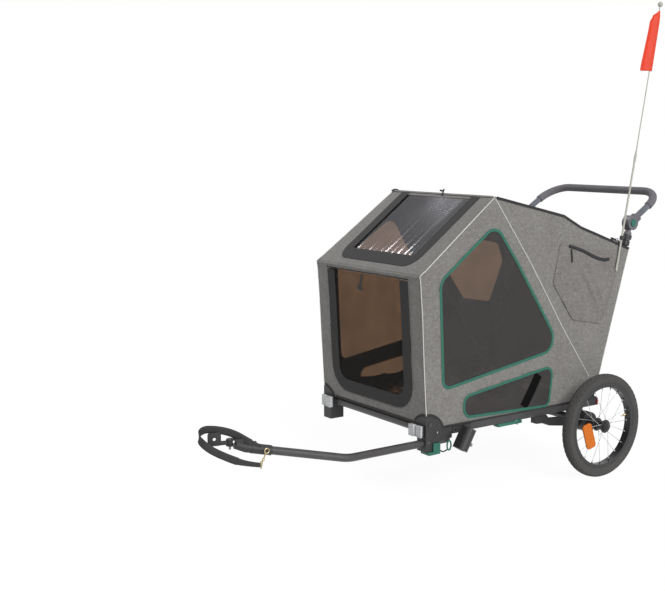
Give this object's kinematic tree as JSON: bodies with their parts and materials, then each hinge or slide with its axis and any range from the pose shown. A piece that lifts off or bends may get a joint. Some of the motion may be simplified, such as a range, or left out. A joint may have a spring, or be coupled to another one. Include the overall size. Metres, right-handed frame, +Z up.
{
  "type": "dog bike trailer",
  "caption": "Two-wheeled dog trailer with a folding cloth cabin, mesh windows, a push handle, a safety flag and a bent tow bar that hooks on a bicycle axle.",
  "frame": {"origin": "on the ground, under the middle of the wheel axle", "axes": "+X forward to the tow hitch, +Y to the trailer's left, +Z up"},
  "size_m": [2.0948, 0.864, 1.8375],
  "materials": {
    "frame_paint": "dark grey powder coat, satin",
    "black_plastic": "black glass-filled nylon, moulded",
    "teal_plastic": "teal moulded plastic",
    "grey_cloth": "grey melange woven polyester, coated inside",
    "black_mesh": "black polyester mesh",
    "clear_film": "clear soft vinyl film",
    "tyre_rubber": "black rubber with a shallow tread",
    "rim_paint": "black painted aluminium",
    "spoke_steel": "blackened steel",
    "steel": "zinc-plated steel",
    "amber_lens": "amber prismatic reflector",
    "clear_lens": "clear prismatic reflector",
    "red_lens": "red prismatic reflector",
    "foam": "dark grey foam sleeve",
    "black_webbing": "black woven webbing",
    "brass": "brass-plated hook",
    "flag_cloth": "orange-red flag cloth",
    "flag_fibre": "ivory glass-fibre rod",
    "floor_liner": "black coated floor board"
  },
  "bodies": {
    "base": {"side_rail_left": "frame_paint", "side_rail_right": "frame_paint", "front_cross_tube": "frame_paint", "rear_cross_tube": "frame_paint", "axle_tube": "frame_paint", "axle_arm_left": "black_plastic", "axle_arm_right": "black_plastic", "wheel_axles": "steel", "corner_bracket_left": "black_plastic", "corner_bracket_right": "black_plastic", "rear_hinges": "black_plastic", "hinge_pins": "steel", "floor_board": "floor_liner", "front_reflectors": "clear_lens", "rear_reflectors": "red_lens", "stroller_socket": "black_plastic", "side_panel_left": "grey_cloth", "side_panel_right": "grey_cloth", "side_windows_left": "black_mesh", "side_windows_right": "black_mesh", "front_panel": "grey_cloth", "roof_panel": "grey_cloth", "roof_window": "clear_film", "rear_roof_panel": "grey_cloth", "rear_panel": "grey_cloth", "side_pocket": "grey_cloth"},
    "main_hoop": {"main_hoop": "frame_paint"},
    "front_posts": {"front_posts": "frame_paint"},
    "handle_posts": {"handle_posts": "frame_paint", "post_collars": "black_plastic", "flag_clip": "black_plastic"},
    "push_handle": {"push_handle": "frame_paint", "handle_grip": "foam"},
    "handle_button_left": {"handle_button_left": "teal_plastic"},
    "handle_button_right": {"handle_button_right": "teal_plastic"},
    "wheel_left": {"tyre_left": "tyre_rubber", "rim_left": "rim_paint", "hub_left": "black_plastic", "hub_bearings_left": "steel", "spokes_left": "spoke_steel", "wheel_reflector_left": "amber_lens"},
    "wheel_right": {"tyre_right": "tyre_rubber", "rim_right": "rim_paint", "hub_right": "black_plastic", "hub_bearings_right": "steel", "spokes_right": "spoke_steel", "wheel_reflector_right": "amber_lens"},
    "tow_bar": {"tow_bar": "frame_paint", "bar_collar": "black_plastic", "hitch_socket": "black_plastic", "hitch_pin": "steel", "safety_strap": "black_webbing", "snap_hook": "brass"},
    "hitch_plate": {"hitch_plate": "frame_paint"},
    "tow_latch": {"tow_latch": "teal_plastic"},
    "fold_slider": {"fold_slider": "teal_plastic"},
    "socket_pin": {"socket_pin": "black_plastic"},
    "flag": {"flag_rod": "flag_fibre", "flag_pennant": "flag_cloth"},
    "front_door": {"front_door": "black_mesh"}
  },
  "joints": [
    {"name": "wheel_left_spin", "type": "hinge", "parent": "base", "child": "wheel_left", "pos_m": [0, 0.402, 0.203], "axis": [0, 1, 0], "continuous": true},
    {"name": "wheel_right_spin", "type": "hinge", "parent": "base", "child": "wheel_right", "pos_m": [0, -0.402, 0.203], "axis": [0, 1, 0], "continuous": true},
    {"name": "frame_fold", "type": "hinge", "parent": "base", "child": "main_hoop", "pos_m": [-0.036, 0, 0.312], "axis": [0, 1, 0], "range_deg": [0, 51], "deforming": ["side_panel_left", "side_panel_right", "side_windows_left", "side_windows_right", "front_panel", "front_door", "roof_panel", "roof_window", "rear_roof_panel", "rear_panel", "side_pocket"]},
    {"name": "front_posts_fold", "type": "hinge", "parent": "base", "child": "front_posts", "pos_m": [0.795, 0, 0.305], "axis": [0, 1, 0], "range_deg": [-92.5, 0.5]},
    {"name": "handle_posts_fold", "type": "hinge", "parent": "base", "child": "handle_posts", "pos_m": [-0.036, 0, 0.312], "axis": [0, 1, 0], "range_deg": [-0.5, 90.5]},
    {"name": "handle_tilt", "type": "hinge", "parent": "handle_posts", "child": "push_handle", "pos_m": [-0.24, 0, 0.975], "axis": [0, 1, 0], "range_deg": [-40, 75]},
    {"name": "handle_button_left_press", "type": "slide", "parent": "push_handle", "child": "handle_button_left", "axis": [0, -1, 0], "range_m": [0, 0.004], "stiffness_N_per_m": 500},
    {"name": "handle_button_right_press", "type": "slide", "parent": "push_handle", "child": "handle_button_right", "axis": [0, 1, 0], "range_m": [0, 0.004], "stiffness_N_per_m": 500},
    {"name": "tow_bar_pull", "type": "slide", "parent": "base", "child": "tow_bar", "axis": [1, 0, 0], "range_m": [0, 0.1]},
    {"name": "hitch_yaw", "type": "hinge", "parent": "tow_bar", "child": "hitch_plate", "pos_m": [1.534, 0.197, 0.331], "axis": [0, 0, 1], "range_deg": [-45, 45], "deforming": ["safety_strap"]},
    {"name": "tow_latch_pull", "type": "hinge", "parent": "base", "child": "tow_latch", "pos_m": [0.813, 0.2945, 0.2056], "axis": [0, 1, 0], "range_deg": [-25, 0], "stiffness_Nm_per_rad": 0.6, "springref_deg": 5.73},
    {"name": "fold_slider_pull", "type": "slide", "parent": "base", "child": "fold_slider", "axis": [-1, 0, 0], "range_m": [0, 0.03], "stiffness_N_per_m": 200},
    {"name": "socket_pin_pull", "type": "slide", "parent": "base", "child": "socket_pin", "axis": [-0.866, 0, -0.5], "range_m": [0, 0.006], "stiffness_N_per_m": 400, "springref_m": -0.002},
    {"name": "flag_lift", "type": "slide", "parent": "handle_posts", "child": "flag", "axis": [-0.1944, 0, 0.9809], "range_m": [0, 0.12]},
    {"name": "front_door_open", "type": "hinge", "parent": "base", "child": "front_door", "pos_m": [0.84372, 0, 0.8155], "axis": [0, 1, 0], "range_deg": [-100, 0]}
  ],
  "couplings": [
    {"joint": "front_posts_fold", "follows": "frame_fold", "ratio": -1.8039},
    {"joint": "handle_posts_fold", "follows": "frame_fold", "ratio": 1.7647}
  ]
}
